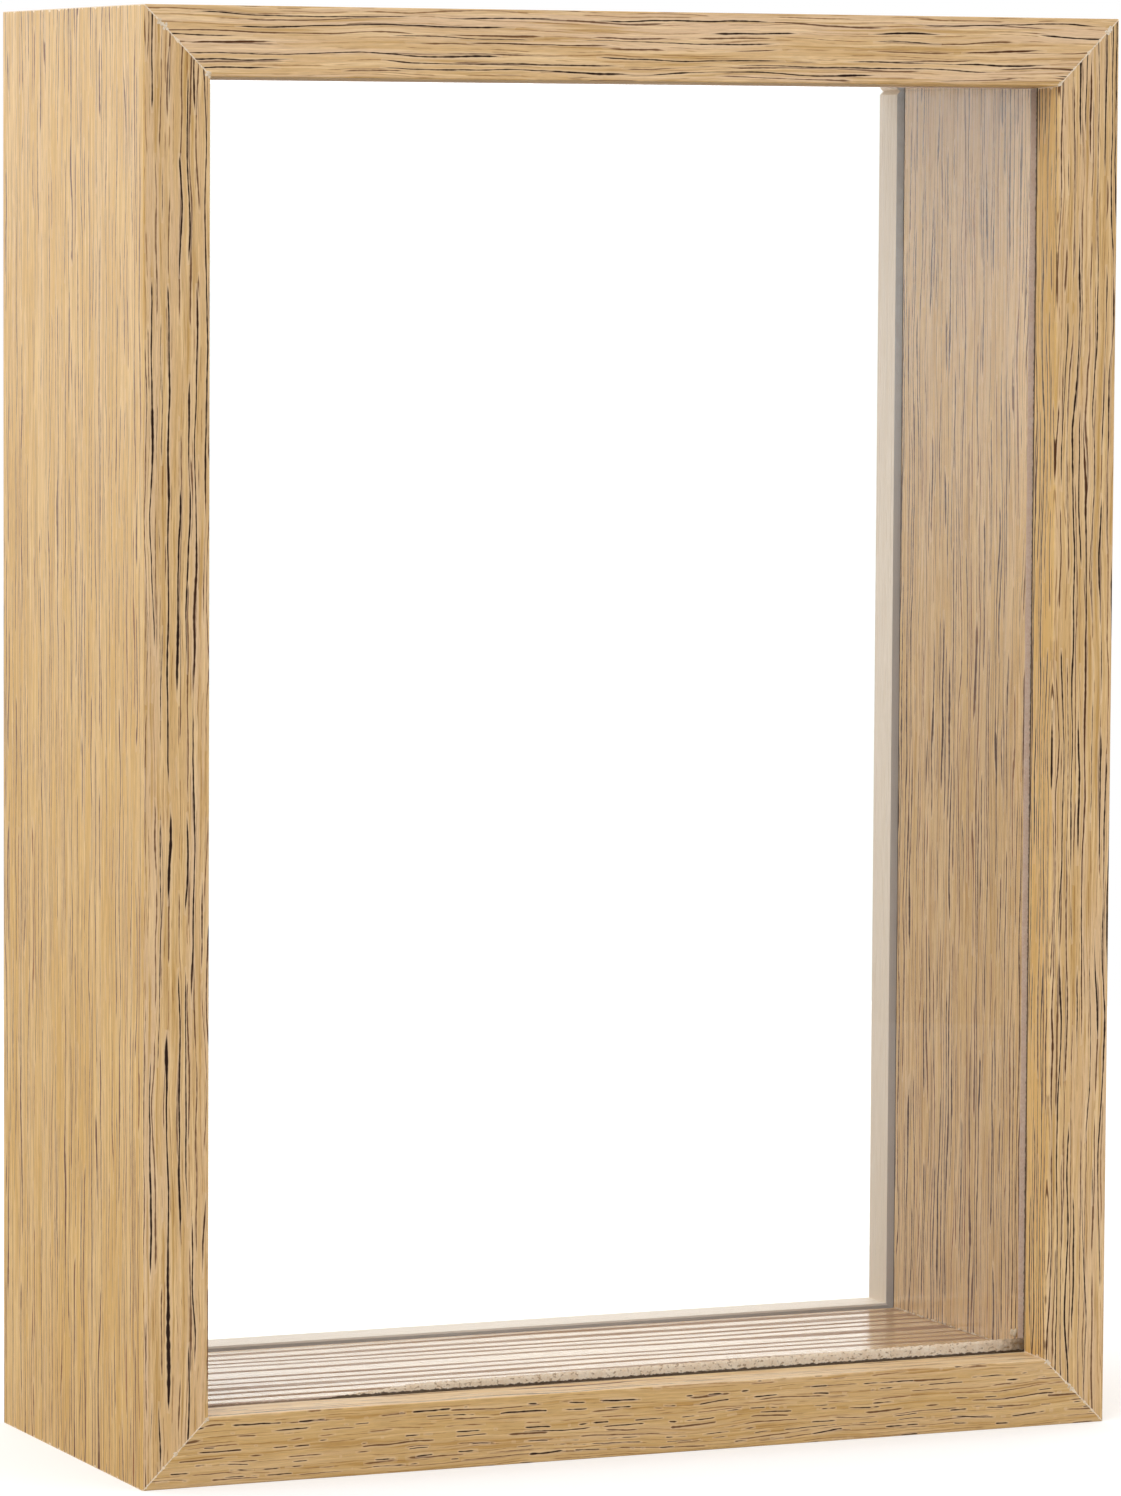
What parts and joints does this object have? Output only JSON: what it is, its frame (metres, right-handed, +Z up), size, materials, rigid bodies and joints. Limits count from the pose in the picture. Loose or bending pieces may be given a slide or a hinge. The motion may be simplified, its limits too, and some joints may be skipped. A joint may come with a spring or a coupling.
{
  "type": "shadow box",
  "caption": "Free-standing, see-through shadow box: a deep mitred wooden box with a glass pane at the front and a removable glass back held by turn buttons.",
  "frame": {"origin": "middle of the part's bounding box, on the surface that it stands on", "axes": "+X to the right seen from the front, +Y from the front pane to the back, +Z up"},
  "size_m": [0.1386, 0.0562, 0.1894],
  "materials": {
    "oak_foil_moulding": "satin oak-print foil on fibreboard",
    "oak_foil_lining": "satin oak-print foil on fibreboard",
    "raw_board": "raw fibreboard, matt and fibrous",
    "pale_strip": "pale satin foil on fibreboard",
    "clear_glass": "clear float glass",
    "plated_steel": "zinc plated"
  },
  "bodies": {
    "box": {"bottom_rail": "oak_foil_moulding", "top_rail": "oak_foil_moulding", "left_stile": "oak_foil_moulding", "right_stile": "oak_foil_moulding", "front_glass": "clear_glass", "liner_bottom": "oak_foil_lining", "liner_top": "oak_foil_lining", "liner_left": "oak_foil_lining", "liner_right": "oak_foil_lining", "packing_strip": "raw_board", "turn_button_screws": "plated_steel", "corner_v_nails": "plated_steel"},
    "back": {"back_glass": "clear_glass", "back_strip_bottom": "pale_strip", "back_strip_top": "pale_strip", "back_strip_left": "pale_strip", "back_strip_right": "pale_strip"},
    "turn_button_left_lower": {"turn_button_left_lower": "plated_steel"},
    "turn_button_left_upper": {"turn_button_left_upper": "plated_steel"},
    "turn_button_right_lower": {"turn_button_right_lower": "plated_steel"},
    "turn_button_right_upper": {"turn_button_right_upper": "plated_steel"}
  },
  "joints": [
    {"name": "back_slide", "type": "slide", "parent": "box", "child": "back", "axis": [0, 1, 0], "range_m": [0, 0.06]},
    {"name": "turn_button_left_lower_pivot", "type": "hinge", "parent": "box", "child": "turn_button_left_lower", "pos_m": [-0.06669, 0.02625, 0.044], "axis": [0, -1, 0], "continuous": true},
    {"name": "turn_button_left_upper_pivot", "type": "hinge", "parent": "box", "child": "turn_button_left_upper", "pos_m": [-0.06669, 0.02625, 0.14545], "axis": [0, -1, 0], "continuous": true},
    {"name": "turn_button_right_lower_pivot", "type": "hinge", "parent": "box", "child": "turn_button_right_lower", "pos_m": [0.06669, 0.02625, 0.044], "axis": [0, 1, 0], "continuous": true},
    {"name": "turn_button_right_upper_pivot", "type": "hinge", "parent": "box", "child": "turn_button_right_upper", "pos_m": [0.06669, 0.02625, 0.14545], "axis": [0, 1, 0], "continuous": true}
  ]
}
